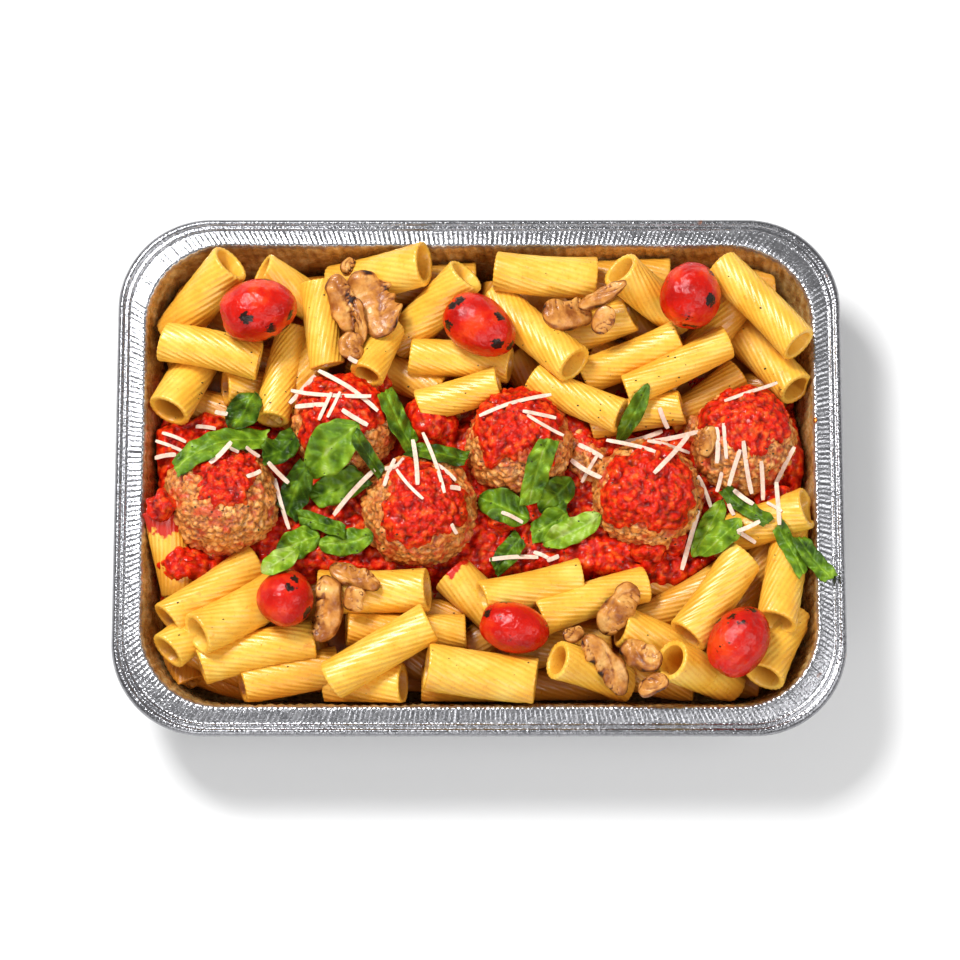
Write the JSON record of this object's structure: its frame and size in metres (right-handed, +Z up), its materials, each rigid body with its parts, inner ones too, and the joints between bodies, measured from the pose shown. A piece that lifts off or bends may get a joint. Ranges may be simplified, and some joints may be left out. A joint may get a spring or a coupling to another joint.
{
  "type": "foil tray meal",
  "caption": "Rectangular crimped foil tray heaped with ridged pasta tubes, meatballs in tomato sauce, blistered tomatoes, mushrooms and basil.",
  "frame": {"origin": "middle of the tray's underside, on the surface it stands on", "axes": "+X along the tray's long side, +Y along its short side, +Z up"},
  "size_m": [0.33, 0.239, 0.079],
  "materials": {
    "foil": "bright crimped foil with golden food stains inside",
    "pasta": "glossy cooked egg-yellow pasta with fine turned ridges",
    "sauce": "wet, coarse tomato sauce",
    "meat": "coarse browned minced meat with herb flecks",
    "tomato": "glossy blistered skin with small char spots",
    "mushroom": "seared, tan to dark brown at the edges",
    "basil": "satin green leaf with paler veins"
  },
  "bodies": {
    "root": {"basil_01": "basil", "basil_02": "basil", "basil_03": "basil", "basil_04": "basil", "basil_05": "basil", "basil_06": "basil", "basil_07": "basil", "basil_08": "basil", "basil_09": "basil", "basil_10": "basil", "basil_11": "basil", "basil_12": "basil", "basil_13": "basil", "basil_14": "basil", "basil_15": "basil", "basil_16": "basil", "basil_17": "basil", "basil_18": "basil", "basil_19": "basil", "basil_20": "basil", "basil_21": "basil", "basil_22": "basil", "basil_23": "basil", "basil_24": "basil", "basil_25": "basil", "meatball_01": "meat", "meatball_02": "meat", "meatball_03": "meat", "meatball_04": "meat", "meatball_05": "meat", "meatball_06": "meat", "mushroom_01": "mushroom", "mushroom_02": "mushroom", "mushroom_03": "mushroom", "mushroom_04": "mushroom", "mushroom_05": "mushroom", "mushroom_06": "mushroom", "mushroom_07": "mushroom", "mushroom_08": "mushroom", "mushroom_09": "mushroom", "mushroom_10": "mushroom", "mushroom_11": "mushroom", "mushroom_12": "mushroom", "mushroom_13": "mushroom", "mushroom_14": "mushroom", "rigatoni_heap": "pasta", "sauce_bed": "sauce", "sauce_dollop_01": "sauce", "sauce_dollop_02": "sauce", "sauce_dollop_03": "sauce", "sauce_dollop_04": "sauce", "sauce_dollop_05": "sauce", "sauce_dollop_06": "sauce", "tomato_01": "tomato", "tomato_02": "tomato", "tomato_03": "tomato", "tomato_04": "tomato", "tomato_05": "tomato", "tomato_06": "tomato", "tray": "foil"}
  },
  "joints": []
}
